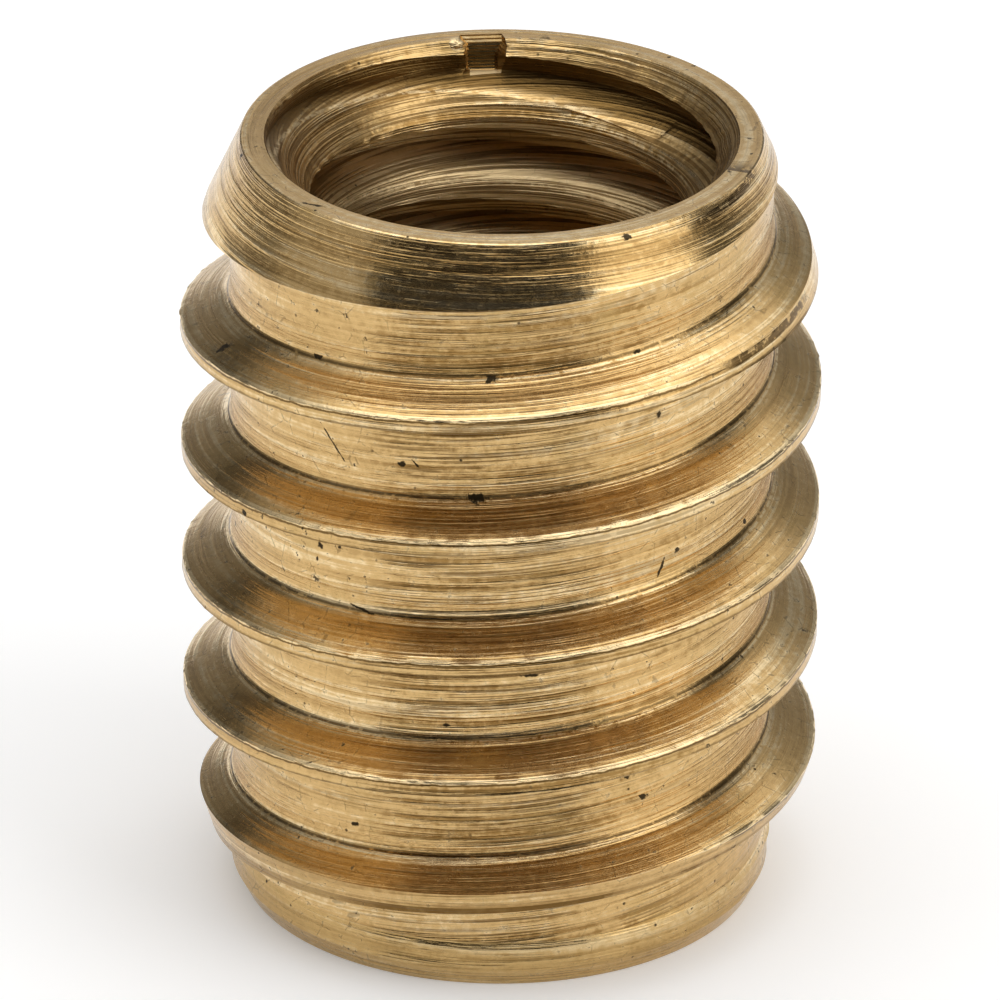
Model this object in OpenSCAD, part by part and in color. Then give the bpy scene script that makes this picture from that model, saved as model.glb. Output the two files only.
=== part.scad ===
// Self-tapping threaded insert, turned from brass bar.
// Millimetres. The axis is Z, the driven end is up, and the origin is the
// middle of the flat lower end. Both threads are right-handed.

/* [Inner thread] */
// Nominal diameter of the screw that the insert takes
screw_d = 7.94; // [7:0.01:9]
// Pitch of the inner thread
screw_pitch = 1.411; // [1.38:0.001:1.6]
// Radial depth of the inner thread's groove
screw_depth = 0.62; // [0.4:0.01:0.65]
// Width of the flat at the bottom of the groove
groove_flat = 0.17; // [0.1:0.01:0.2]
// Angle between the two sides of the groove
groove_angle = 60; // [50:1:62]
// Depth of the groove's middle below the driven end, on the +X side
groove_start = 0.82; // [0:0.01:1.4]

/* [Body] */
// Length of the insert
insert_length = 14.6; // [12:0.1:20]
// Wall between the bottom of the inner groove and the root of the outer thread
wall = 0.88; // [0.6:0.01:1.5]

/* [Outer thread] */
// Pitch of the outer thread
knife_pitch = 2.375; // [2:0.005:3]
// Height of the outer thread's ridge above its root
knife_height = 0.9; // [0.6:0.01:1.1]
// Width of the ridge's flat crest
knife_crest = 0.25; // [0.15:0.01:0.4]
// Slope of each side of the ridge, from square to the axis
knife_slope = 26; // [20:0.5:32]
// Depth of the ridge's middle below the driven end, on the +X side
knife_start = 2.4; // [1.5:0.05:3.5]
// Slope of the taper that trims the ridge towards each end, from the axis
trim_slope = 17; // [10:0.5:20]
// Where the groove above the ridge has run out, in turns from +X
run_out_turn = 0.35; // [0.33:0.01:0.4]

/* [Driven end] */
// How far the rim of the flat end lies inside the root of the outer thread
rim_inset = 0.2; // [0:0.01:0.3]
// Slope of the cone below the rim, from the axis
cone_slope = 25; // [20:0.5:32]
// Height of the cone below the rim
cone_height = 1.4; // [0.8:0.05:1.6]
// How much wider than the screw the countersink's mouth is, all round
mouth_rise = 0.265; // [0.1:0.005:0.4]
// Slope of the countersinks at both ends, from the axis
sink_slope = 37.5; // [35:0.5:45]

/* [Lead-in end] */
// How far the plain lead-in stands proud of the outer thread's root
pilot_rise = 0.05; // [0.02:0.01:0.15]
// Height of the plain lead-in
pilot_length = 0.8; // [0.5:0.05:1.5]
// Width and height of the 45 degree shoulder above the lead-in
shoulder = 0.38; // [0.3:0.01:0.7]
// Width of the bevel on the lower edge
bevel_w = 0.19; // [0.1:0.01:0.3]
// Height of the bevel on the lower edge
bevel_h = 0.37; // [0.2:0.01:0.45]
// How much wider than the screw the lower countersink's mouth is, all round
exit_rise = 0.15; // [0.05:0.01:0.3]

/* [Driving notch] */
// Place of the notch round the rim, from +X
notch_angle = 94; // [0:1:360]
// Width of the notch's floor
notch_w = 0.55; // [0.3:0.05:1]
// How far each side of the notch flares out towards the bore
notch_flare = 0.15; // [0.05:0.01:0.3]
// How far the notch bites into the rim, outside the countersink
notch_bite = 0.13; // [0.05:0.01:0.2]
// Depth of the notch along the axis
notch_depth = 0.55; // [0.3:0.05:0.8]
// Slope of the notch's floor, from the axis
notch_slope = 37; // [25:1:45]

/* [Hidden] */

// Radii, worked outwards from the screw
groove_r = screw_d / 2;
bore_r = groove_r - screw_depth;
root_r = groove_r + wall;
crest_r = root_r + knife_height;
pilot_r = root_r + pilot_rise;
rim_r = root_r - rim_inset;
mouth_r = groove_r + mouth_rise;
exit_r = groove_r + exit_rise;
cone_r = rim_r + cone_height * tan(cone_slope);
shoulder_r = pilot_r + shoulder;

// The trimming profile runs this far outside the crest
clear_r = crest_r + 0.5;
// Cuts start this far outside the metal that they go through
over = 0.5;
// The ridge is sunk this far into the core, so that the two join
sink = 0.15;
// Flat segments in each turn of the threads
knife_steps = 72;
screw_steps = 48;

$fn = 144;

// A point of a right-handed helix: radius, height at angle 0, angle and pitch
function helix_point(r, z, angle, pitch) =
    [r * cos(angle), r * sin(angle), z + pitch * angle / 360];

// A bar with the given profile, a counter-clockwise list of [radius, height],
// wound from one height of its centre line to another. At angle 0 the centre
// line passes through middle_z.
module helical_bar(profile, pitch, middle_z, from_z, to_z, steps_a_turn) {
    sides = len(profile);
    step = 360 / steps_a_turn;
    first = floor((from_z - middle_z) / pitch * steps_a_turn);
    last = ceil((to_z - middle_z) / pitch * steps_a_turn);
    rings = last - first;
    points = [
        for (i = [first : last], p = profile)
            helix_point(p[0], middle_z + p[1], (i + 0.5) * step, pitch)
    ];
    start_cap = [for (k = [sides - 1 : -1 : 0]) k];
    end_cap = [for (k = [0 : sides - 1]) rings * sides + k];
    walls = [
        for (i = [0 : rings - 1], k = [0 : sides - 1])
            let (
                next = (k + 1) % sides,
                a = i * sides + k,
                b = i * sides + next,
                c = b + sides,
                d = a + sides
            )
            each [[a, b, c], [a, c, d]]
    ];
    polyhedron(points, concat([start_cap, end_cap], walls), convexity = 20);
}

// Core of the outer thread, and the plain lead-in below it
module core() {
    rotate_extrude()
        polygon([
            [0, 0],
            [pilot_r, 0],
            [pilot_r, pilot_length],
            [root_r, pilot_length],
            [root_r, insert_length],
            [0, insert_length]
        ]);
}

// Ridge of the outer thread, run out past both ends of the core
module knife_ridge() {
    foot = knife_crest / 2 + (knife_height + sink) * tan(knife_slope);
    helical_bar(
        [
            [root_r - sink, -foot],
            [crest_r, -knife_crest / 2],
            [crest_r, knife_crest / 2],
            [root_r - sink, foot]
        ],
        knife_pitch,
        insert_length - knife_start,
        0,
        insert_length + over,
        knife_steps
    );
}

// Metal left where the groove above the ridge has run out, up to the cone
module run_out() {
    // Here the ridge's upper side leaves the cone for good
    last_turn = (knife_start - (root_r - rim_r) / tan(cone_slope)
        - knife_crest / 2 - knife_height * tan(knife_slope)) / knife_pitch;
    bottom = insert_length - knife_start + knife_pitch * run_out_turn
        + knife_crest / 2 + knife_height * tan(knife_slope) * 0.66;
    rotate([0, 0, run_out_turn * 360])
        rotate_extrude(angle = (last_turn - run_out_turn) * 360 + 2)
            polygon([
                [root_r - sink, bottom],
                [clear_r, bottom],
                [clear_r, insert_length + over],
                [root_r - sink, insert_length + over]
            ]);
}

// What the lathe leaves: the cone and taper at the driven end, and the bevel,
// shoulder and taper at the lead-in end
module trimmed_form() {
    shoulder_z = pilot_length + shoulder;
    cone_z = insert_length - cone_height;
    rotate_extrude()
        polygon([
            [0, 0],
            [pilot_r - bevel_w, 0],
            [pilot_r, bevel_h],
            [pilot_r, pilot_length],
            [shoulder_r, shoulder_z],
            [clear_r, shoulder_z + (clear_r - shoulder_r) / tan(trim_slope)],
            [clear_r, cone_z - (clear_r - cone_r) / tan(trim_slope)],
            [cone_r, cone_z],
            [rim_r, insert_length],
            [0, insert_length]
        ]);
}

// Groove of the inner thread, cut from inside the bore
module screw_groove() {
    mouth = groove_flat / 2 + (screw_depth + sink) * tan(groove_angle / 2);
    helical_bar(
        [
            [bore_r - sink, -mouth],
            [groove_r, -groove_flat / 2],
            [groove_r, groove_flat / 2],
            [bore_r - sink, mouth]
        ],
        screw_pitch,
        insert_length - groove_start,
        -screw_pitch,
        insert_length + screw_pitch,
        screw_steps
    );
}

// Countersink with its mouth at the origin, opening upwards
module countersink(mouth) {
    depth = (mouth - bore_r) / tan(sink_slope);
    translate([0, 0, -depth])
        cylinder(h = depth + over, r1 = bore_r, r2 = mouth + over * tan(sink_slope));
}

module bore() {
    translate([0, 0, -over])
        cylinder(h = insert_length + 2 * over, r = bore_r);
    translate([0, 0, insert_length]) countersink(mouth_r);
    rotate([180, 0, 0]) countersink(exit_r);
}

// Notch in the countersink's edge that a driver's tip turns the insert by. Its
// floor leans in towards the bore, and its sides flare.
module notch() {
    run = tan(notch_slope);
    top_r = mouth_r + notch_bite;
    rotate([0, 0, notch_angle])
        translate([0, 0, insert_length])
            hull() {
                notch_slab(top_r + over * run, over, notch_w / 2);
                notch_slab(top_r - notch_depth * run, -notch_depth, notch_w / 2);
                notch_slab(bore_r, over, notch_w / 2 + notch_flare * 2);
                notch_slab(bore_r, -notch_depth, notch_w / 2 + notch_flare);
            }
}

// Thin cross-piece that the notch is hulled from
module notch_slab(r, z, half_w) {
    thin = 0.01;
    translate([r - thin, -half_w, z]) cube([thin, half_w * 2, thin]);
}

module insert() {
    color("goldenrod")
        difference() {
            intersection() {
                union() {
                    core();
                    knife_ridge();
                    run_out();
                }
                trimmed_form();
            }
            bore();
            screw_groove();
            notch();
        }
}

insert();
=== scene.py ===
# %% [markdown]
# # A threaded insert in turned brass
# A wood insert is a short brass tube with two threads. The coarse knife thread
# outside grips the wood, and the fine one inside takes a machine screw. This
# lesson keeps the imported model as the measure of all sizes, and makes the
# surface again with its burrs, tool marks and wear.

# %% Load the fixed frame
import math
import bmesh
import bpy
from mathutils import Matrix, Vector, noise
from types import SimpleNamespace


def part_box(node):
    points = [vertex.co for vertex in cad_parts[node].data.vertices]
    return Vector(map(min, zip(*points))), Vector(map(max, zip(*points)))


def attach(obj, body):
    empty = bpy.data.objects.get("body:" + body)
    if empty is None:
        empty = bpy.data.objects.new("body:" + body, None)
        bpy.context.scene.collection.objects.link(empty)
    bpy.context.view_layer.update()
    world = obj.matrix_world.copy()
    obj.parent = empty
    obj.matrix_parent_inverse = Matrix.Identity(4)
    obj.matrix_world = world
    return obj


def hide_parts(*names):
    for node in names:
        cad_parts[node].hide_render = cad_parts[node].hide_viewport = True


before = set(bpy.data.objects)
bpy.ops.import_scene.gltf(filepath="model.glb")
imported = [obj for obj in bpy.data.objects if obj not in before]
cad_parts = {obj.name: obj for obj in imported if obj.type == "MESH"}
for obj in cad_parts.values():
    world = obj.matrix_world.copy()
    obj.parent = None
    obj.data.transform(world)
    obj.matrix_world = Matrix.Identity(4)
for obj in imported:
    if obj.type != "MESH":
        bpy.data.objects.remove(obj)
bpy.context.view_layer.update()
mm = 0.001
low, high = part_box("insert")
print("insert from", [round(v / mm, 3) for v in low], "to", [round(v / mm, 3) for v in high], "mm")

# %% [markdown]
# A small object is photographed with a long lens from a little above, so that
# its threads stay nearly parallel. The camera looks at a point on the axis,
# and its turn about its own line of sight is a quarter of a degree.

# %% Camera
camera_elevation = math.radians(26.168)
camera_distance = 0.20544
aim_height = 7.1875 * mm
camera_data = bpy.data.cameras.new("camera")
camera_data.sensor_width = 36
camera_data.lens = 409.68
camera_data.shift_x = -0.00043
camera_data.shift_y = 0.00876
camera_data.clip_start = 0.005
camera = bpy.data.objects.new("camera", camera_data)
bpy.context.scene.collection.objects.link(camera)
camera.location = (
    0,
    -camera_distance * math.cos(camera_elevation),
    aim_height + camera_distance * math.sin(camera_elevation),
)
look = Matrix.Rotation(math.radians(90) - camera_elevation, 3, "X")
camera.rotation_euler = (look @ Matrix.Rotation(math.radians(0.238), 3, "Z")).to_euler()
bpy.context.scene.camera = camera
bpy.context.scene.view_settings.view_transform = "Standard"
print("camera at", [round(v, 4) for v in camera.location], "m")

# %% [markdown]
# Node trees grow by dozens of small sums. A wire that knows how to add and
# multiply itself keeps them readable: each sign adds its Math node, in a
# geometry tree as in a shader.

# %% A wire that can be reckoned with
class Wire:
    """An output socket, with the signs of arithmetic."""

    def __init__(self, web, socket):
        self.web = web
        self.socket = socket

    def __add__(self, other):
        return self.web.math("ADD", self, other)

    def __radd__(self, other):
        return self.web.math("ADD", other, self)

    def __sub__(self, other):
        return self.web.math("SUBTRACT", self, other)

    def __rsub__(self, other):
        return self.web.math("SUBTRACT", other, self)

    def __mul__(self, other):
        return self.web.math("MULTIPLY", self, other)

    def __rmul__(self, other):
        return self.web.math("MULTIPLY", other, self)

    def __truediv__(self, other):
        return self.web.math("DIVIDE", self, other)

    def __rtruediv__(self, other):
        return self.web.math("DIVIDE", other, self)

    def __neg__(self):
        return self.web.math("MULTIPLY", self, -1.0)

    def __abs__(self):
        return self.web.math("ABSOLUTE", self)

    def __gt__(self, other):
        return self.web.math("GREATER_THAN", self, other)

    def __lt__(self, other):
        return self.web.math("LESS_THAN", self, other)


class Web:
    """A node tree, with one method that adds any node."""

    def __init__(self, tree):
        self.tree = tree

    def fill(self, socket, value):
        if isinstance(value, Wire):
            self.tree.links.new(value.socket, socket)
        elif socket.type == "RGBA" and len(value) == 3:
            socket.default_value = (*value, 1.0)
        else:
            socket.default_value = value

    def node(self, kind, settings=None, sockets=None, out=0):
        made = self.tree.nodes.new(kind)
        for name, value in (settings or {}).items():
            setattr(made, name, value)
        for key, value in (sockets or {}).items():
            if isinstance(key, int):
                self.fill(made.inputs[key], value)
            else:
                self.fill([s for s in made.inputs if s.name == key and s.enabled][0], value)
        if not made.outputs:
            return made
        if isinstance(out, int):
            return Wire(self, made.outputs[out])
        return Wire(self, [s for s in made.outputs if s.name == out and s.enabled][0])

    def math(self, operation, *values):
        return self.node("ShaderNodeMath", {"operation": operation}, dict(enumerate(values)))

    def least(self, *values):
        found = values[0]
        for value in values[1:]:
            found = self.math("MINIMUM", found, value)
        return found

    def most(self, *values):
        found = values[0]
        for value in values[1:]:
            found = self.math("MAXIMUM", found, value)
        return found

    def clamp(self, value, low=0.0, high=1.0):
        return self.least(self.most(value, low), high)

    def ramp(self, value, start, end, soft=True):
        """0 before start, 1 after end."""
        kind = "SMOOTHSTEP" if soft else "LINEAR"
        sockets = {0: value, 1: start, 2: end, 3: 0.0, 4: 1.0}
        return self.node("ShaderNodeMapRange", {"interpolation_type": kind}, sockets)

    def point(self, x, y, z):
        return self.node("ShaderNodeCombineXYZ", {}, {0: x, 1: y, 2: z})

    def noise(self, place, scale=1.0, detail=2.0, rough=0.5, seed=0.0):
        """Noise in space. The seed moves it far away, so that no two are alike."""
        step = (seed * 17.3, seed * 7.1, 0)
        moved = self.node("ShaderNodeVectorMath", {"operation": "ADD"}, {0: place, 1: step})
        sockets = {"Vector": moved, "Scale": scale, "Detail": detail, "Roughness": rough}
        return self.node("ShaderNodeTexNoise", {"noise_dimensions": "3D"}, sockets)


print("wires ready")

# %% [markdown]
# Everything on the part comes from a few sizes, which are those of its
# construction, in millimetres. The angles are kept as slopes, because every
# crossing of two slopes is then one division.

# %% Sizes of the insert
length = 14.6
groove_r = 4.20
bore_r = 3.35
root_r = 4.85
crest_r = 5.75
rim_r = 4.65
mouth_r = 4.235
exit_r = 4.12
pilot_r = 4.90
foot_r = 4.71
knife_pitch = 2.375
knife_zero = 12.2
knife_half_crest = 0.125
knife_run = math.tan(math.radians(26))
screw_pitch = 1.411
screw_zero = 13.78
screw_half_flat = 0.14
screw_run = math.tan(math.radians(22))
cone_z = 13.2
cone_run = math.tan(math.radians(25))
cone_r = rim_r + (length - cone_z) * cone_run
trim_run = math.tan(math.radians(17))
sink_run = math.tan(math.radians(37.5))
bevel_z = 0.37
pilot_z = 0.8
shoulder_z = 1.18
shoulder_r = 5.28
knife_half_foot = knife_half_crest + (crest_r - root_r) * knife_run
screw_half_mouth = screw_half_flat + (groove_r - bore_r) * screw_run
columns = 360
print("ridge", round(2 * knife_half_foot, 3), "mm wide, groove", round(2 * screw_half_mouth, 3), "mm")

# %% [markdown]
# A lathe cuts each thread as one long strip wound round the bar. The mesh is
# made the same way: a flat grid whose columns go round and whose rows go up
# across one pitch is bent into a helix. Rows that pass a turned edge, such as
# the foot of the cone, are moved onto it, so that the edge stays crisp.

# %% Helpers for a wound strip
def new_group(name, sizes):
    """A geometry tree with one named number for each size."""
    tree = bpy.data.node_groups.new(name, "GeometryNodeTree")
    tree.is_modifier = True
    tree.interface.new_socket(name="Geometry", in_out="OUTPUT", socket_type="NodeSocketGeometry")
    for label, value in sizes.items():
        kind = "NodeSocket" + (value if isinstance(value, str) else "Float")
        entry = tree.interface.new_socket(name=label, in_out="INPUT", socket_type=kind)
        if not isinstance(value, str):
            entry.default_value = value
    web = Web(tree)
    entry = tree.nodes.new("NodeGroupInput")
    return web, {s.name: Wire(web, s) for s in entry.outputs if s.name}


def climb(web, row, start, zones, levels):
    """Height of each row. A zone is (rows, height at its end). A level is a
    height with the zones where an edge runs along it: the row that is nearest
    to it, between the zone's own two ends, is moved onto it."""
    height = start
    spans = []
    below = start
    first = 0
    for rows, end in zones:
        height = height + web.clamp((row - first) / rows) * (end - below)
        spans.append((first, rows, below, end))
        below = end
        first += rows
    for level, places in levels:
        for place in places:
            first, rows, below, end = spans[place]
            share = (level - below) / (end - below)
            near = web.clamp(web.math("ROUND", share * rows), 1.0, rows - 1.0) + first
            here = (share > 0.0) * (share < 1.0) * (abs(row - near) < 0.5)
            height = height + here * (level - height)
    return height


def wind(web, rows, turns_from, turns_to):
    """A grid of columns and rows, and each point's turn and row."""
    across = int(round((turns_to - turns_from) * columns)) + 1
    sockets = {"Vertices X": across, "Vertices Y": rows + 1}
    grid = web.node("GeometryNodeMeshGrid", {}, sockets, "Mesh")
    index = web.node("GeometryNodeInputIndex")
    column = web.math("FLOOR", (index + 0.5) / (rows + 1))
    row = index - column * (rows + 1)
    return grid, column / columns + turns_from, row


def place(web, mesh, turn, radius, height):
    """Sets each point of the mesh by its turn, radius and height."""
    angle = turn * math.tau
    spot = web.point(radius * web.math("COSINE", angle), radius * web.math("SINE", angle), height)
    return web.node("GeometryNodeSetPosition", {}, {"Geometry": mesh, "Position": spot})


print("strip helpers ready")

# %% [markdown]
# The outside is a ridge on a round core, trimmed by a second, turned shape:
# bevel, lead-in, shoulder, two tapers and the cone below the rim. At each
# point the metal ends at the smaller of the two radii. For each column the
# tree works out where the ridge's sides meet the trimming shape.

# %% Outer strip
knife_zones = [4, 2, 2, 1, 4, 1, 1, 3, 4, 3]
edge_width = 0.018
rim_edge = 0.02
knife_rows = sum(knife_zones)
corner_low = 0.04
corner_high = 0.03
hollow = 0.38
hollow_below = 0.18
hollow_above = 0.16
trim_lines = [
    (crest_r, 0.0),
    (shoulder_r - shoulder_z, 1.0),
    (shoulder_r - shoulder_z * trim_run, trim_run),
    (cone_r + cone_z * trim_run, -trim_run),
    (cone_r + cone_z * cone_run, -cone_run),
]


def trimmed(web, z):
    """Radius of the turned shape that trims the outside."""
    bevel = z * ((pilot_r - foot_r) / bevel_z) + foot_r
    shoulder = web.most(z + (shoulder_r - shoulder_z), pilot_r)
    low_taper = z * trim_run + trim_lines[2][0]
    high_taper = trim_lines[3][0] - z * trim_run
    cone = trim_lines[4][0] - z * cone_run
    return web.least(bevel, shoulder, low_taper, high_taper, cone)


def outer_strip(web, pitch, zero):
    mesh, turn, row = wind(web, knife_rows, -5.75, 1.75)
    middle = turn * pitch + zero
    foot = middle - knife_half_foot
    head = middle + knife_half_foot
    rising = [(a - crest_r + (middle - knife_half_crest) / knife_run) / (1 / knife_run - b)
              for a, b in trim_lines]
    falling = [(crest_r - a + (middle + knife_half_crest) / knife_run) / (1 / knife_run + b)
               for a, b in trim_lines]
    edge_low = web.clamp(web.least(*rising), foot + corner_high + edge_width, middle - edge_width)
    edge_high = web.clamp(web.most(*falling), middle + edge_width, head - hollow_below - edge_width)
    ends = [foot - corner_low, foot + corner_high, edge_low, edge_low + edge_width, edge_high - edge_width,
            edge_high, edge_high + edge_width, head - hollow_below, head + hollow_above, middle + pitch * 0.5]
    zones = list(zip(knife_zones, ends))
    crest_low = shoulder_z + (crest_r - shoulder_r) / trim_run
    crest_high = cone_z - (crest_r - cone_r) / trim_run
    core_cut = cone_z + (cone_r - root_r) / cone_run
    cap, walls = [4], [0, 9]
    levels = [(bevel_z, [0, 4, 7, 9]), (pilot_z, [0, 2, 4, 7, 9]), (pilot_z + 0.2, walls), (core_cut, walls),
              (shoulder_z, cap), (crest_low, cap), (crest_high, cap), (cone_z, cap)]
    height = web.clamp(climb(web, row, middle - pitch * 0.5, zones, levels), 0.0, length - rim_edge)
    beside = web.most(abs(height - middle) - knife_half_crest, 0.0)
    ridge = crest_r - beside / knife_run
    step = web.clamp((pilot_z + 0.2 - height) / 0.2) * (pilot_r - root_r)
    groove_turn = turn - (height < middle)
    run_out = web.ramp(groove_turn, 0.28, 0.5) * (cone_r - root_r)
    core = step + run_out + root_r
    rounding = (height > middle) * (hollow - 0.05) + 0.05
    radius = web.math("SMOOTH_MAX", core, ridge, rounding)
    radius = web.least(radius, trimmed(web, height))
    at_low_edge = abs(row - sum(knife_zones[:3])) < 0.5
    at_high_edge = abs(row - sum(knife_zones[:6])) < 0.5
    on_crest = radius > (crest_r - 0.06)
    lip = (at_low_edge * 0.3 + at_high_edge) * on_crest
    radius = radius - at_high_edge * on_crest * edge_width
    return place(web, mesh, turn, radius, height), lip


print(knife_rows, "rows across the outer pitch")

# %% [markdown]
# The bore is made in the same way, inside out: a narrow groove wound in a
# round hole, opened at both ends by a countersink. Where they meet,
# the metal ends at the larger radius.

# %% Inner strip
screw_zones = [3, 2, 2, 2, 2]
screw_round = 0.12
screw_rows = sum(screw_zones)


def inner_strip(web, pitch, zero):
    mesh, turn, row = wind(web, screw_rows, -10.5, 1.25)
    middle = turn * pitch + zero
    foot = middle - screw_half_mouth
    floor_low = middle - screw_half_flat
    floor_high = middle + screw_half_flat
    head = middle + screw_half_mouth
    ends = [foot, floor_low, floor_high, head, middle + pitch * 0.5]
    zones = list(zip(screw_zones, ends))
    mouth_zero = mouth_r - length * sink_run
    rising = (floor_low / screw_run + mouth_zero - groove_r) / (1 / screw_run - sink_run)
    falling = (floor_high / screw_run - mouth_zero + groove_r) / (1 / screw_run + sink_run)
    levels = [(length - (mouth_r - bore_r) / sink_run, [0, 4]),
              (length - (mouth_r - groove_r) / sink_run, [2]),
              (rising, [1]), (falling, [3]),
              ((exit_r - bore_r) / sink_run, [0, 4]), ((exit_r - groove_r) / sink_run, [2])]
    height = web.clamp(climb(web, row, middle - pitch * 0.5, zones, levels), 0.0, length)
    beside = web.most(abs(height - middle) - screw_half_flat, 0.0)
    groove = web.least(groove_r - beside / screw_run, height * 0.25 + (exit_r - 0.12))
    worn = web.ramp(height, foot - 0.22, foot, False)
    crest = worn * worn * (height < middle) * screw_round + bore_r
    radius = web.most(groove, crest, height * sink_run + mouth_zero, exit_r - height * sink_run)
    head_row = screw_rows - screw_zones[4]
    lip = web.most(abs(row - head_row) < 0.5, abs(height - falling) < 0.0005) * -1.3
    turned_in = web.node("GeometryNodeFlipFaces", {}, {"Mesh": place(web, mesh, turn, radius, height)})
    return turned_in, lip


def ring(web, rows, height, first_r, last_r, bevel=0.0):
    """A flat ring in a plane square to the axis. A bevel drops its first row."""
    mesh, turn, row = wind(web, rows, 0.0, 1.0)
    first = row < 0.5
    start_r = first_r - bevel
    radius = web.most(row - 1.0, 0.0) * ((last_r - start_r) / (rows - 1)) + start_r
    return place(web, mesh, turn, radius + first * bevel * (1 + cone_run), height - first * bevel)


print(screw_rows, "rows across the inner pitch")

# %% [markdown]
# Real turned metal is never quite true. Its surface rolls by a few
# thousandths of a millimetre, and its sharp edges carry a thin torn lip. The
# noise that moves the points reads only their place, so that the points on a
# seam move together.

# %% The whole surface in one tree
def with_lip(web, mesh, lip):
    sockets = {"Geometry": mesh, "Name": "lip", "Value": lip}
    return web.node("GeometryNodeStoreNamedAttribute", {"data_type": "FLOAT", "domain": "POINT"}, sockets)


def boolean(web, operation, shape, tool):
    """Cuts a tool out of the shape, or joins it on."""
    tool = web.node("GeometryNodeObjectInfo", {"transform_space": "ORIGINAL"}, {0: tool}, "Geometry")
    made = web.tree.nodes.new("GeometryNodeMeshBoolean")
    made.operation = operation
    made.solver = "MANIFOLD"
    if operation == "DIFFERENCE":
        web.tree.links.new(shape.socket, made.inputs["Mesh 1"])
        web.tree.links.new(tool.socket, made.inputs["Mesh 2"])
    else:
        web.tree.links.new(shape.socket, made.inputs["Mesh 2"])
        web.tree.links.new(tool.socket, made.inputs["Mesh 2"])
    return Wire(web, made.outputs["Mesh"])


def build_surface():
    web, size = new_group("wound surface", {
        "Knife pitch": knife_pitch, "Knife zero": knife_zero,
        "Screw pitch": screw_pitch, "Screw zero": screw_zero,
        "Roll": 0.004, "Lip": 0.035, "Brass": "Material", "Notch": "Object", "Lump": "Object",
    })
    outer, outer_lip = outer_strip(web, size["Knife pitch"], size["Knife zero"])
    inner, inner_lip = inner_strip(web, size["Screw pitch"], size["Screw zero"])
    joined = web.tree.nodes.new("GeometryNodeJoinGeometry")
    parts = [
        with_lip(web, outer, outer_lip),
        with_lip(web, inner, inner_lip),
        with_lip(web, ring(web, 4, length, rim_r, mouth_r, rim_edge), 0.0),
        with_lip(web, ring(web, 3, 0.0, exit_r, foot_r), 0.0),
    ]
    for part in parts:
        web.tree.links.new(part.socket, joined.inputs[0])
    shape = Wire(web, joined.outputs[0])
    shape = web.node("GeometryNodeMergeByDistance", {}, {"Geometry": shape, "Distance": 0.0005})
    shape = boolean(web, "DIFFERENCE", shape, size["Notch"])
    shape = boolean(web, "UNION", shape, size["Lump"])
    shape = web.node("GeometryNodeTriangulate", {}, {"Mesh": shape})
    spot = web.node("GeometryNodeInputPosition")
    spread = web.node("ShaderNodeSeparateXYZ", {}, {0: spot})
    height = Wire(web, spread.socket.node.outputs[2])
    roll = (web.noise(spot, 0.7, 3.0, 0.5, 3.0) - 0.5) * size["Roll"] * 2.0
    lip = web.node("GeometryNodeInputNamedAttribute", {"data_type": "FLOAT"}, {"Name": "lip"}, "Attribute")
    torn = web.ramp(web.noise(spot, 2.2, 5.0, 0.75, 8.0), 0.44, 0.72) * lip * size["Lip"]
    level_spot = web.node("ShaderNodeVectorMath", {"operation": "MULTIPLY"}, {0: spot, 1: (1, 1, 0)})
    outward = web.node("ShaderNodeVectorMath", {"operation": "NORMALIZE"}, {0: level_spot})
    inside = (height < (length - 0.001)) * (height > 0.001)
    push = web.node("ShaderNodeVectorMath", {"operation": "SCALE"},
                    {"Vector": outward, "Scale": (roll + torn) * inside})
    shape = web.node("GeometryNodeSetPosition", {}, {"Geometry": shape, "Offset": push})
    blunt = web.node("GeometryNodeInputMeshEdgeAngle") < math.radians(24)
    for domain, smooth in (("FACE", True), ("EDGE", blunt)):
        sockets = {"Geometry": shape, "Shade Smooth": smooth}
        shape = web.node("GeometryNodeSetShadeSmooth", {"domain": domain}, sockets)
    shape = web.node("GeometryNodeTransform", {}, {"Geometry": shape, "Scale": (mm, mm, mm)})
    shape = web.node("GeometryNodeRealizeInstances", {}, {"Geometry": shape})
    shape = web.node("GeometryNodeSetMaterial", {}, {"Geometry": shape, "Material": size["Brass"]})
    leave = web.tree.nodes.new("NodeGroupOutput")
    web.tree.links.new(shape.socket, leave.inputs[0])
    return web.tree


print("surface tree ready")

# %% [markdown]
# A driver's tip turns the insert by a notch in the countersink's edge. It was
# cut by a small shaping tool, whose strokes left fine steps in its floor. A
# stack of four-cornered levels makes the tool's shape, which is then cut away.
# Metal that the tool pushed aside stands as a torn lump at the left.

# %% Tool for the notch
def join_levels(name, levels):
    """A closed shape through a stack of four-cornered levels, lowest first."""
    points = [corner for level in levels for corner in level]
    faces = [(3, 2, 1, 0)]
    for i in range(len(levels) - 1):
        a = i * 4
        for k in range(4):
            j = (k + 1) % 4
            faces.append((a + k, a + j, a + 4 + j, a + 4 + k))
    last = len(points) - 4
    faces.append((last, last + 1, last + 2, last + 3))
    mesh = bpy.data.meshes.new(name)
    mesh.from_pydata(points, [], faces)
    made = bpy.data.objects.new(name, mesh)
    bpy.context.scene.collection.objects.link(made)
    return made


notch_turn = math.radians(95)
notch_top_r = 4.42
notch_depth = 0.62
notch_steps = 10
notch_step_depth = 0.010


def notch_floor(down):
    """Radius of the floor: it leans back near the top and is steep below."""
    return notch_top_r - min(down, 0.16) * 0.5 - max(down - 0.16, 0.0) * 0.16


def widen(share, low, high):
    """Half the floor's width: narrow up to one height and wider above it."""
    return 0.235 + 0.135 * min(max((share - low) / (high - low), 0.0), 1.0)


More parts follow.
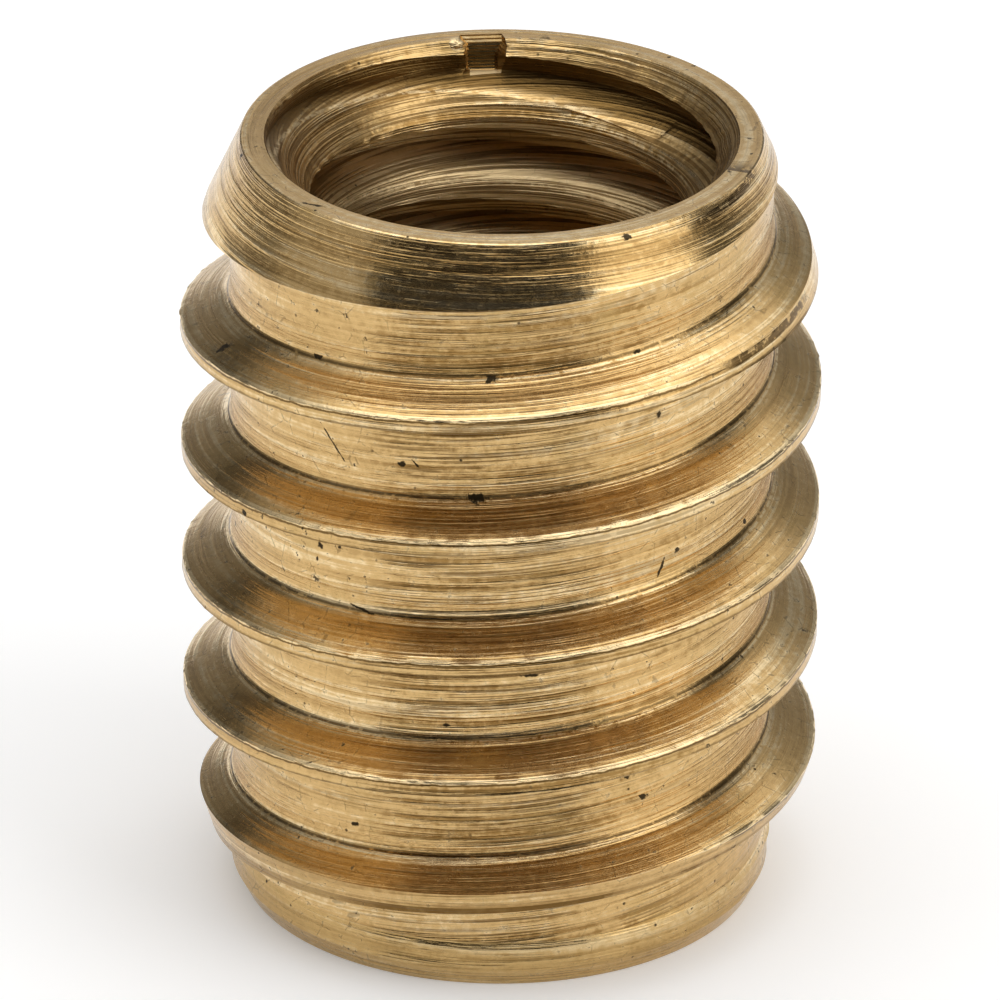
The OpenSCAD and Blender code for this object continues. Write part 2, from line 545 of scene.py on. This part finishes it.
def notch_level(z, floor_r, half_left, half_right, flare):
    """Corners of one level: the bore side first, then the floor side."""
    near = 3.1
    corners = [(near, -half_right - flare), (floor_r, -half_right),
               (floor_r, half_left), (near, half_left + flare)]
    placed = []
    for r, side in corners:
        x = r * math.cos(notch_turn) - side * math.sin(notch_turn)
        y = r * math.sin(notch_turn) + side * math.cos(notch_turn)
        placed.append((x, y, z))
    return placed


notch_levels = []
for step in range(notch_steps * 2 + 1):
    share = step / (notch_steps * 2)
    down = notch_depth * (1 - share)
    floor_r = notch_floor(down) + notch_step_depth * (step % 2)
    left = widen(share, 0.74, 1.0) + 0.010 * (step % 3)
    right = widen(share, 0.42, 0.80)
    notch_levels.append(notch_level(length - down, floor_r, left, right, 0.75 - 0.45 * share))
notch_levels.append(notch_level(length + 0.3, notch_top_r + 0.02, 0.40, 0.40, 0.25))
notch_tool = join_levels("notch_tool", notch_levels)
print("notch tool with", len(notch_levels), "levels")

# %% Torn lump beside the notch
lump_place = (-0.84, 4.15, 14.51)
lump_size = (0.15, 0.12, 0.095)
lump_mesh = bmesh.new()
bmesh.ops.create_icosphere(lump_mesh, subdivisions=3, radius=1.0)
for point in lump_mesh.verts:
    rough = 1.0 + 0.32 * noise.noise(point.co * 2.3 + Vector((3.1, 0.4, 7.7)))
    point.co = Vector(c * rough * s + p for c, s, p in zip(point.co, lump_size, lump_place))
lump = bpy.data.objects.new("lump", bpy.data.meshes.new("lump"))
lump_mesh.to_mesh(lump.data)
lump_mesh.free()
bpy.context.scene.collection.objects.link(lump)
print("lump with", len(lump.data.vertices), "points")

# %% [markdown]
# A turned surface carries fine marks in the direction of the cut. On the
# thread they follow the helix, and elsewhere they are plain circles. The
# finish unrolls both: one number runs along the cut and another across it,
# so that noise stretched along the first makes the marks. `side` is the angle
# round the axis from the front, in degrees, and `above` is the height over
# the middle of the nearest ridge.

# %% Where a point lies on the part
under_seam = 0.60
flank_stretch = 0.62
lap_shift = 7.0
circle_shift = 30.0


def unrolled(web):
    """Place on the part in millimetres: round it, along the cut and across it."""
    spot = web.node("ShaderNodeVectorMath", {"operation": "SCALE"},
                    {"Vector": web.node("ShaderNodeTexCoord", {}, {}, "Object"), "Scale": 1 / mm})
    split = web.node("ShaderNodeSeparateXYZ", {}, {0: spot}).socket.node.outputs
    x, y, z = (Wire(web, socket) for socket in split)
    turn = web.math("ARCTAN2", y, x)
    radius = web.math("SQRT", x * x + y * y)
    laps = (z - knife_zero) / knife_pitch - turn / math.tau
    lap = web.math("FLOOR", laps + under_seam / knife_pitch)
    above = (laps - lap) * knife_pitch
    way = web.math("SIGN", above)
    profile = above + way * web.most(crest_r - radius, 0.0) * flank_stretch
    along = (lap * math.tau + turn) * root_r
    on_cone = ((radius + (z - cone_z) * cone_run) > (cone_r - 0.02)) * (z > (cone_z - 0.02))
    on_lead = z < (pilot_z + 0.12)
    on_flat = web.most(z > (length - 0.004), z < 0.004)
    in_bore = (radius < (mouth_r + 0.005)) * (1 - on_flat)
    turned = web.most(on_cone, on_lead, on_flat, in_bore)
    helical = web.point(along, 0.0, profile + lap * lap_shift)
    circular = web.point(x, y, z * 1.1 + radius * on_flat + circle_shift)
    grain = web.node("ShaderNodeMix", {"data_type": "VECTOR"},
                     {"Factor": turned, "A": helical, "B": circular}, "Result")
    side = turn * math.degrees(1) + 90.0
    return SimpleNamespace(
        spot=spot, x=x, y=y, z=z, side=side, radius=radius, above=above, grain=grain, turned=turned,
        on_cone=on_cone, on_lead=on_lead, on_flat=on_flat, in_bore=in_bore)


print("place on the part ready")

# %% [markdown]
# Noise drawn out along the cut gives bands, streaks and fine lines, from broad
# to narrow. Other noises lie evenly in space. They say where the metal is
# stained, mottled or torn.

# %% Noises of the finish
def stretched(web, grain, length_mm, width_mm, detail, rough, seed):
    """Noise drawn out along the cut."""
    scaled = web.node("ShaderNodeVectorMath", {"operation": "MULTIPLY"},
                      {0: grain, 1: (1 / length_mm, 1 / length_mm, 1 / width_mm)})
    return web.noise(scaled, 1.0, detail, rough, seed)


def noises(web, at):
    """Every noise that the colour and the relief share."""
    return SimpleNamespace(
        bands=stretched(web, at.grain, 12.0, 0.26, 2.0, 0.5, 1.0),
        streaks=stretched(web, at.grain, 5.0, 0.085, 2.0, 0.55, 2.0),
        lines=stretched(web, at.grain, 3.2, 0.034, 1.0, 0.5, 3.0),
        grit=stretched(web, at.grain, 0.4, 0.035, 2.0, 0.6, 4.0),
        patches=stretched(web, at.grain, 1.8, 0.30, 3.0, 0.6, 9.0),
        mottle=web.noise(at.spot, 6.0, 4.0, 0.62, 10.0),
        stains=web.noise(at.spot, 0.9, 4.0, 0.6, 5.0),
        specks=web.noise(at.spot, 9.0, 3.0, 0.6, 6.0),
        torn=(web.noise(at.spot, 2.6, 4.0, 0.7, 8.0) - 0.5) * 0.10)


print("noises ready")

# %% [markdown]
# A part that has lain among others carries nicks, pits and scratches, each where something struck it. They
# are listed one by one. A mark is an ellipse on the unrolled wall: its degrees from the front, its height,
# its half length and half height in millimetres, and its tilt. Those on the rim give x and y instead. The
# distance to each is measured in its own half sizes, and only the smallest is kept. A level mark needs only a
# product and a sum, and a tilted one a Mapping node, which is slower. The rim's marks are moved far away, so
# that the two sets never meet.

# %% Marks, listed one by one
marks = [
    (-41, 8.25, 0.06, 0.05, 0), (-36, 8.34, 0.05, 0.05, 0), (-42, 7.96, 0.03, 0.04, 0),
    (-21, 10.28, 0.06, 0.05, 0), (-18, 10.33, 0.09, 0.02, -50), (-5, 9.80, 0.15, 0.07, 0),
    (-2, 12.15, 0.10, 0.06, 0), (-41, 11.96, 0.08, 0.04, 0), (-65, 11.46, 0.07, 0.08, 0),
    (-52, 8.82, 0.05, 0.05, 0), (40, 8.21, 0.05, 0.05, 0), (29, 12.37, 0.06, 0.04, 0),
    (35, 11.00, 0.05, 0.06, 0), (36, 7.98, 0.22, 0.025, 65), (7, 6.27, 0.16, 0.03, 0),
    (-11, 5.24, 0.07, 0.03, 0), (28, 4.01, 0.07, 0.06, 0), (32, 3.50, 0.08, 0.05, 0),
    (-32, 2.91, 0.06, 0.04, 0), (28, 14.52, 0.09, 0.05, 0), (-80, 14.53, 0.07, 0.05, 0),
    (64, 8.00, 0.08, 0.05, 0), (-37, 10.31, 0.36, 0.018, -48), (-30, 7.27, 0.22, 0.02, -6),
]
rim_marks = [(-3.29, -3.04, 0.22, 0.035, -24), (3.00, 3.41, 0.05, 0.03, 0), (3.45, 3.03, 0.05, 0.03, 0)]
rim_away = 40.0


def nearest_mark(web, at):
    """How far the nearest mark is, in units of that mark's own half size."""
    on_wall = web.point(at.side * (math.radians(1) * root_r), at.z, 0.0)
    on_rim = web.point(at.x, at.y + rim_away, 0.0)
    here = web.node("ShaderNodeMix", {"data_type": "VECTOR"},
                    {"Factor": at.on_flat, "A": on_wall, "B": on_rim}, "Result")
    placed = [(math.radians(side) * root_r, z, *size) for side, z, *size in marks]
    placed += [(x, y + rim_away, *size) for x, y, *size in rim_marks]
    nearest = 9.0
    for across, up, half_length, half_height, tilt in placed:
        if tilt:
            away = web.node("ShaderNodeMapping", {"vector_type": "TEXTURE"}, {
                "Vector": here, "Location": (across, up, 0.0), "Rotation": (0.0, 0.0, math.radians(tilt)),
                "Scale": (half_length, half_height, 1.0)})
        else:
            scale = (1 / half_length, 1 / half_height, 1.0)
            shift = (-across / half_length, -up / half_height, 0.0)
            how = {"operation": "MULTIPLY_ADD"}
            away = web.node("ShaderNodeVectorMath", how, {0: here, 1: scale, 2: shift})
        gap = web.node("ShaderNodeVectorMath", {"operation": "LENGTH"}, {0: away}, "Value")
        nearest = web.least(gap, nearest)
    return nearest


print(len(marks) + len(rim_marks), "marks placed by hand")

# %% [markdown]
# The insert isn't worn alike all round. Its front is streaky, the walls beside
# it are rubbed smooth, and behind the two change places in patches. These
# shares steer both the colour and the relief.

# %% Where it is worn
def wear(web, at, noise):
    """Shares from 0 to 1: smooth, rubbed, combed by lines, and flank."""
    plain = 1 - web.most(at.on_cone, at.in_bore)
    front = web.ramp(at.side, -34, -18) * (1 - web.ramp(at.side, 10, 28))
    behind = web.ramp(abs(at.side - 90), 30, 60) * (at.side > 0) * (1 - web.ramp(at.side, 235, 262))
    smooth = (1 - web.most(front, behind * 0.5)) * plain
    rubbed = (1 - web.most(front, web.ramp(noise.stains, 0.44, 0.52) * behind)) * plain
    combed = web.most(web.ramp(noise.patches - smooth * 0.12, 0.34, 0.56), at.in_bore)
    flank = web.ramp(at.radius, root_r + 0.04, root_r + 0.2) * (at.radius < (crest_r - 0.04))
    return SimpleNamespace(smooth=smooth, rubbed=rubbed, combed=combed, flank=flank)


def pitted(web, at, noise, worn):
    """Small round pits, the listed marks with ragged edges, and dots."""
    cells = web.node("ShaderNodeTexVoronoi", {"feature": "F1"}, {"Vector": at.spot, "Scale": 2.3}, "Distance")
    size = web.noise(at.spot, 1.9, 2.0, 0.5, 7.0)
    pits = (1 - web.ramp(cells, 0.03, 0.10)) * web.ramp(size, 0.5, 0.62)
    ragged = (noise.specks - 0.5) * 3.0 + (noise.mottle - 0.5) * 2.0
    nicks = 1 - web.ramp(nearest_mark(web, at) + ragged, 0.7, 1.2)
    dots = web.ramp(noise.mottle, 0.655, 0.70) * (0.35 + worn.rubbed * 0.5)
    return web.most(pits, nicks, dots)


print("wear ready")

# %% [markdown]
# Bare brass is one metal, but its marks give it many tones. The grain comes first: a deep, a plain and a pale
# brass by the height of the noise, and brown in the scored lines. Stains and painted shade go over it.

# %% Grain, stains and painted shade
deep_brass = (0.33, 0.19, 0.06)
plain_brass = (0.66, 0.44, 0.187)
# The pale grain, and also the colour of painted highlights on the crest's upper edge, beside each corner and
# on the groove's burrs. It also makes the pale line in the notch and the disc round the lump.
pale_brass_and_highlight = (0.90, 0.70, 0.40)
line_brown = (0.19, 0.105, 0.032)
# Painted shade for the lower flank under each ridge.
under_shade_brown = (0.17, 0.09, 0.022)
# Colour of real stains, and of painted shade on the lead-in.
stain_and_shade_brass = (0.50, 0.34, 0.13)
bore_deep_z = 13.3


def blend_colour(web, share, first, second):
    return web.node("ShaderNodeMix", {"data_type": "RGBA", "blend_type": "MIX"},
                    {"Factor": share, "A": first, "B": second}, "Result")


def grained(web, at, noise, worn):
    """Colour of the grain, with the shares of pale metal and scored lines."""
    tone = noise.bands * 0.35 + noise.streaks * 0.40 + noise.mottle * 0.25
    # In the bore below bore_deep_z the colour is also painted paler: painted light.
    light = web.most(web.ramp(tone, 0.50, 0.62), at.in_bore * (at.z < bore_deep_z) * 0.7)
    dark = web.ramp(tone, 0.40, 0.50)
    calm = web.most(worn.flank * 0.3, at.on_flat * 0.6, at.on_cone * 0.25, worn.rubbed * 0.6)
    colour = blend_colour(web, dark * (1 - calm) + calm, deep_brass, plain_brass)
    colour = blend_colour(web, light, colour, pale_brass_and_highlight)
    scored = (1 - web.ramp(noise.lines - at.in_bore * 0.05, 0.38, 0.46)) * worn.combed
    colour = blend_colour(web, scored * 0.8 * (1 - calm), colour, line_brown)
    heavy = web.ramp(noise.streaks, 0.56, 0.64) * (1 - web.most(worn.flank, calm))
    return blend_colour(web, heavy * 0.55, colour, line_brown), light, scored


def stained_and_shaded(web, at, noise, worn, colour):
    """Painted shade under each ridge, soft stains, and painted shade on the lead-in."""
    # Painted shade on the lower flank under each ridge. It is strongest at the front, where the wall is not
    # rubbed.
    shade_under_ridge = web.ramp(at.above, -0.599, -0.54) * (at.above < -0.13) * (1 - at.turned)
    colour = blend_colour(web, shade_under_ridge * (0.95 - worn.rubbed * 0.6), colour, under_shade_brown)
    # Real stains from noise, and painted shade over the whole lead-in.
    stain_and_lead_shade = web.most(web.ramp(noise.stains, 0.50, 0.72) * 0.45, at.on_lead * 0.4)
    return blend_colour(web, stain_and_lead_shade, colour, stain_and_shade_brass)


print("grain ready")

# %% [markdown]
# The crest carries a painted highlight along its upper edge, where the burr is. A painted shadow line runs
# under the burr, and a dark line along the lower edge. In the corner above each ridge lies a line of painted
# shade, with a thin painted highlight beside it. Torn noise moves them all, so that no line is quite
# straight.

# %% Edges, corners and cracks
# Brown of real cracks and of the bruise. It is also the painted shadow under the crest's burr, the dark line
# on the crest's lower edge and the painted shade in each corner.
dirt_and_shade_brown = (0.13, 0.075, 0.025)


def edged(web, at, noise, worn, colour):
    edge = at.above + noise.torn
    on_crest = at.radius > (crest_r - 0.07)
    # Painted highlight along the crest's upper edge, at the burr.
    crest_highlight = web.ramp(edge, 0.09, 0.11) * on_crest
    # Painted shadow line under the burr.
    dark = web.ramp(edge, 0.05, 0.06) * (1 - web.ramp(edge, 0.085, 0.10)) * on_crest
    # A dark line along the crest's lower edge.
    low = (1 - web.ramp(edge, -0.10, -0.08)) * (edge > -0.16) * on_crest
    colour = blend_colour(web, crest_highlight * 0.8, colour, pale_brass_and_highlight)
    colour = blend_colour(web, web.most(dark * 0.9, low * 0.65), colour, dirt_and_shade_brown)
    foot = at.above + noise.torn * 0.4
    # Painted shade in the corner above each ridge.
    corner = web.ramp(foot, 0.565, 0.58) * (1 - web.ramp(foot, 0.60, 0.63)) * (1 - at.turned)
    # Painted highlight in a thin line beside it.
    glint = web.ramp(foot, 0.52, 0.535) * (1 - web.ramp(foot, 0.545, 0.56)) * (1 - at.turned)
    colour = blend_colour(web, glint * web.ramp(noise.mottle, 0.38, 0.46) * 0.8, colour, pale_brass_and_highlight)
    colour = blend_colour(web, corner * web.ramp(noise.mottle, 0.35, 0.45) * 0.85, colour, dirt_and_shade_brown)
    crackle = web.node("ShaderNodeTexVoronoi", {"feature": "DISTANCE_TO_EDGE"},
                       {"Vector": at.spot, "Scale": 2.0, "Randomness": 1.0}, "Distance")
    cracks = (1 - web.ramp(crackle, 0.010, 0.028)) * web.ramp(noise.mottle, 0.50, 0.56)
    return blend_colour(web, cracks * (0.2 + worn.rubbed * 0.4) * 0.8, colour, dirt_and_shade_brown)


def bruised(web, at, noise, colour):
    """The dark bruise on the first crest, at the right."""
    patch = web.ramp(at.side, 42, 47) * (1 - web.ramp(at.side, 70, 76)) * (at.z > 11.7)
    patch = patch * web.ramp(at.above + noise.torn, -0.01, 0.02) * (at.above < 0.16)
    return blend_colour(web, patch * web.ramp(noise.mottle, 0.40, 0.47) * 0.9, colour, dirt_and_shade_brown)


print("edges ready")

# %% [markdown]
# Painted shade darkens the inner groove, most of all in its first turn. `wall_r` is how far out the bore and
# its countersinks would be without the groove, so what lies further out is in the groove or in the notch.
# Painted highlights shine on the broken burrs along the groove's edges. The notch is painted darker towards
# its bottom as shade, and a pale line runs along its bottom edge.

# %% Groove and notch
# Colour of the painted shade in the inner groove and in the lower part of the notch.
groove_shade_brown = (0.19, 0.11, 0.032)
first_groove_z = 13.6
notch_margin = 0.02


def notched(web, at):
    """Share inside the notch, the height in it, and the way past the bore's wall."""
    wall_r = web.most(at.z * sink_run + (mouth_r - length * sink_run), bore_r, exit_r - at.z * sink_run)
    up = at.z - (length - notch_depth - notch_margin)
    inside = (abs(at.x + 0.30) < (up * 0.3 + 0.28)) * (at.y > 3.9) * (up > 0.0)
    between = (at.radius > (wall_r + 0.03)) * (at.radius < (notch_top_r + 0.05))
    return inside * between * (1 - at.on_flat), up, at.radius - wall_r


def grooved(web, at, noise, colour, in_notch, up, off_wall):
    # Painted shade in the inner groove, strongest in its first turn.
    groove = web.ramp(off_wall, 0.04, 0.20) * at.in_bore * (1 - in_notch)
    colour = blend_colour(web, groove * (0.08 + (at.z > first_groove_z) * 0.88), colour, groove_shade_brown)
    # Painted highlight on the broken burrs along the groove's edges.
    burr = web.ramp(off_wall + noise.torn * 0.2, 0.005, 0.02) * (1 - web.ramp(off_wall, 0.045, 0.07))
    burr = burr * at.in_bore * (1 - in_notch) * web.ramp(noise.mottle, 0.42, 0.54)
    colour = blend_colour(web, burr * 0.5, colour, pale_brass_and_highlight)
    # Painted shade in the lower part of the notch.
    colour = blend_colour(web, in_notch * (1 - web.ramp(up, 0.25, 0.50)) * 0.7, colour, groove_shade_brown)
    # A pale line along the notch's bottom edge.
    return blend_colour(web, in_notch * (up < 0.035) * 0.8, colour, pale_brass_and_highlight)


print("groove ready")

# %% [markdown]
# The relief turns the light up and down, which does more for the look than
# the colour. It holds only what is too fine for the mesh, a few hundredths of
# a millimetre at most. Each noise has its middle taken off, so that no step
# shows where a share ends. It is read three times for each point that is lit,
# so pits and marks are left out of it to save time.

# %% Relief
def relief_of(web, at, noise, worn, in_notch):
    soft = web.most(worn.flank * 0.6, at.in_bore * 0.4, at.on_cone * 0.35, worn.smooth * 0.6)
    broad = ((noise.bands - 0.5) * 0.050 + (noise.streaks - 0.5) * 0.030) * (1 - soft)
    fine = (noise.lines - 0.5) * 0.014 * worn.combed + (noise.grit - 0.5) * 0.005
    fine = fine + (noise.mottle - 0.5) * 0.006
    return (broad + fine * (1 - worn.flank * 0.5 + at.in_bore * 0.8)) * (1 - in_notch * 0.9)


print("relief ready")

# %% [markdown]
# The layers come together in one metal. Turned brass shines in streaks across
# its cut, which is what the anisotropy is for.

# %% Brass
black_dirt = (0.03, 0.022, 0.012)


def make_brass():
    material = bpy.data.materials.new("brass")
    material.use_nodes = True
    web = Web(material.node_tree)
    shader = material.node_tree.nodes["Principled BSDF"]
    at = unrolled(web)
    noise_of = noises(web, at)
    worn = wear(web, at, noise_of)
    pits = pitted(web, at, noise_of, worn)
    in_notch, up, off_wall = notched(web, at)
    colour, light, scored = grained(web, at, noise_of, worn)
    colour = stained_and_shaded(web, at, noise_of, worn, colour)
    colour = edged(web, at, noise_of, worn, colour)
    colour = grooved(web, at, noise_of, colour, in_notch, up, off_wall)
    colour = bruised(web, at, noise_of, colour)
    colour = blend_colour(web, pits * 0.95, colour, black_dirt)
    ends = {0: at.spot, 1: lump_place}
    from_lump = web.node("ShaderNodeVectorMath", {"operation": "DISTANCE"}, ends, "Value")
    colour = blend_colour(web, (1 - web.ramp(from_lump, 0.12, 0.16)) * 0.8, colour, pale_brass_and_highlight)
    web.fill(shader.inputs["Base Color"], colour)
    rough = 0.17 + (1 - light) * 0.05 + web.ramp(noise_of.specks, 0.4, 0.7) * 0.05
    rough = rough + web.most(scored * 0.3, pits) * 0.3
    rough = rough + at.in_bore * (0.08 + (at.z < bore_deep_z) * 0.12) - at.on_cone * 0.04
    web.fill(shader.inputs["Roughness"], rough)
    shader.inputs["Metallic"].default_value = 1.0
    shader.inputs["Anisotropic"].default_value = 0.6
    shader.inputs["Anisotropic Rotation"].default_value = 0.25
    height = relief_of(web, at, noise_of, worn, in_notch)
    bump = web.node("ShaderNodeBump", {}, {"Strength": 1.0, "Distance": mm, "Height": height}, "Normal")
    web.fill(shader.inputs["Normal"], bump)
    return material


brass = make_brass()
print("brass with", len(brass.node_tree.nodes), "nodes")

# %% [markdown]
# The tree runs once, and its result is kept as a plain mesh in metres, with
# no modifier left on it.

# %% Make the insert
def make_mesh(name, tree, inputs):
    """Runs a geometry tree once and keeps its result as a plain mesh."""
    carrier = bpy.data.objects.new(name, bpy.data.meshes.new(name))
    bpy.context.scene.collection.objects.link(carrier)
    modifier = carrier.modifiers.new("shape", "NODES")
    modifier.node_group = tree
    for item in tree.interface.items_tree:
        if item.in_out == "INPUT" and item.name in inputs:
            modifier[item.identifier] = inputs[item.name]
    bpy.context.view_layer.update()
    graph = bpy.context.evaluated_depsgraph_get()
    made = bpy.data.meshes.new_from_object(carrier.evaluated_get(graph))
    carrier.modifiers.remove(modifier)
    carrier.data = made
    made.name = name
    return carrier


insert = make_mesh("insert_surface", build_surface(), {"Brass": brass, "Notch": notch_tool, "Lump": lump})
for helper in (notch_tool, lump):
    bpy.data.objects.remove(helper)
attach(insert, "root")
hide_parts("insert")
print("insert with", len(insert.data.vertices), "points and", len(insert.data.polygons), "faces")

# %% [markdown]
# Small metal things are photographed on a white sheet. The sheet takes the
# insert's soft shadow. Its own white is lifted a little towards pure white
# for rays that come from the camera or from a shiny surface, and no light is
# added to the insert by that.

# %% Floor
floor_mesh = bpy.data.meshes.new("floor")
floor_level = -0.01 * mm
floor_half = 2.0
floor_corners = [(-1, -1), (1, -1), (1, 1), (-1, 1)]
floor_points = [(x * floor_half, y * floor_half, floor_level) for x, y in floor_corners]
floor_mesh.from_pydata(floor_points, [], [(0, 1, 2, 3)])
floor = bpy.data.objects.new("floor", floor_mesh)
bpy.context.scene.collection.objects.link(floor)
sheet_lift = 0.22
sheet = bpy.data.materials.new("white sheet")
sheet.use_nodes = True
sheet_web = Web(sheet.node_tree)
paper = sheet.node_tree.nodes["Principled BSDF"]
paper.inputs["Base Color"].default_value = (0.9, 0.9, 0.9, 1)
paper.inputs["Roughness"].default_value = 0.9
paper.inputs["Specular IOR Level"].default_value = 0.0
rays = sheet_web.node("ShaderNodeLightPath").socket.node.outputs
ray_names = ("Is Camera Ray", "Is Glossy Ray", "Is Transmission Ray")
seen = sheet_web.most(*(Wire(sheet_web, rays[name]) for name in ray_names))
lift = {channel: seen * sheet_lift for channel in range(3)}
lift = sheet_web.node("ShaderNodeCombineColor", {}, lift)
sheet_web.fill(paper.inputs["Emission Color"], lift)
paper.inputs["Emission Strength"].default_value = 1.0
floor.data.materials.append(sheet)
print("floor at", floor_level, "m")

# %% [markdown]
# Metal shows what stands round it. The studio is a soft light overhead, a
# tall white box to the right of the camera and dark screens beside the
# camera. Behind the insert stand a second box and two grey screens. Their
# edges give the cone and the ridges their dark and bright parts. Each is a
# curve of the angle round the axis times a curve of the angle above the floor.

# %% Curves of the studio
always = (-200, -190)
never = (200, 210)


def eased(value, start, end):
    """0 before start, 1 after end."""
    share = min(max((value - start) / (end - start), 0.0), 1.0)
    return share * share * (3 - 2 * share)


def window(value, rising, falling):
    """1 between a rising and a falling edge, each given by its two ends."""
    return eased(value, *rising) * (1 - eased(value, *falling))


def soft_edges(start, end, soft):
    return (start - soft, start + soft), (end - soft, end + soft)


def below(top):
    """A screen that stands on the floor and ends softly round a height."""
    return always, (top - 9, top + 9)


# Each has its edges round the axis, its edges in height, and its strength
bright_screens = {
    "white box": (soft_edges(39, 84, 4), below(55), 1.4),
    "grey at the back left": (soft_edges(-176, -96, 6), below(36), -0.28),
    "box at the back right": (soft_edges(126, 156, 8), ((34, 44), (53, 71)), 0.7),
}
dark_screens = {
    "dark front": (soft_edges(-54, 38, 5), below(51), 0.94),
    "dark right": (soft_edges(88, 118, 5), below(55), 0.75),
    "dark edge at the back left": (soft_edges(-165, -120, 4), ((22, 30), (27, 45)), 0.9),
}
far_lights = {
    "grey at the back right": (soft_edges(140, 180, 8), below(36), -0.22),
    "glow behind": (((158, 170), never), (always, (34, 46)), 0.30),
    "overhead": ((always, never), ((45, 65), never), 1.47),
}
plain_level = 0.47
print(len(bright_screens) + len(dark_screens) + len(far_lights), "lights and screens")

# %% [markdown]
# A lamp ray asks for the studio's light millions of times, so its curves are
# kept in ramp nodes. The red, green and blue of one ramp hold three curves,
# and one product and one dot product join three screens.

# %% Studio
world = bpy.data.worlds.new("studio")
bpy.context.scene.world = world
world.use_nodes = True
sky = Web(world.node_tree)
back = world.node_tree.nodes["Background"]
direction = sky.node("ShaderNodeTexCoord", {}, {}, "Generated")
parts = sky.node("ShaderNodeSeparateXYZ", {}, {0: direction}).socket.node.outputs
dx, dy, dz = (Wire(sky, part) for part in parts)
degree = math.degrees(1)
side = sky.math("ARCTAN2", dx, -dy) * degree
rise = sky.math("ARCSINE", dz) * degree
knots_an_edge = 5


def three_curves(angle, span, edges, mirrored=()):
    """Three windows of an angle from -span to span, in one ramp node."""
    knots = {-span, span}
    for turned, (rising, falling) in enumerate(edges):
        for start, end in (rising, falling):
            for k in range(knots_an_edge):
                knot = start + (end - start) * k / (knots_an_edge - 1)
                both = (knot, -knot) if turned in mirrored else (knot,)
                knots.update(v for v in both if -span < v < span)
    table = sky.node("ShaderNodeValToRGB", {}, {0: angle * (0.5 / span) + 0.5}, "Color")
    stops = table.socket.node.color_ramp.elements
    for knot in sorted(knots):
        share = knot / (2 * span) + 0.5
        stop = stops[0] if knot == -span else stops[-1] if knot == span else stops.new(share)
        values = [window(abs(knot) if i in mirrored else knot, *pair) for i, pair in enumerate(edges)]
        stop.color = (*values, 1.0)
    return table


def strength_of(screens, mirrored=()):
    """The three screens' strengths in one direction, added up."""
    rows = list(screens.values())
    round_axis = three_curves(side, 180, [row[0] for row in rows], mirrored)
    in_height = three_curves(rise, 90, [row[1] for row in rows])
    both = sky.node("ShaderNodeVectorMath", {"operation": "MULTIPLY"}, {0: round_axis, 1: in_height})
    weights = tuple(row[2] for row in rows)
    return sky.node("ShaderNodeVectorMath", {"operation": "DOT_PRODUCT"}, {0: both, 1: weights}, "Value")


level = strength_of(bright_screens) + strength_of(far_lights, (1,)) + plain_level
level = level * (1 - strength_of(dark_screens))
camera_ray = sky.node("ShaderNodeLightPath", {}, {}, "Is Camera Ray")
level = level + camera_ray * (1 - level)
sky.fill(back.inputs["Strength"], level)
back.inputs["Color"].default_value = (1, 1, 1, 1)
print("studio with", len(world.node_tree.nodes), "nodes")
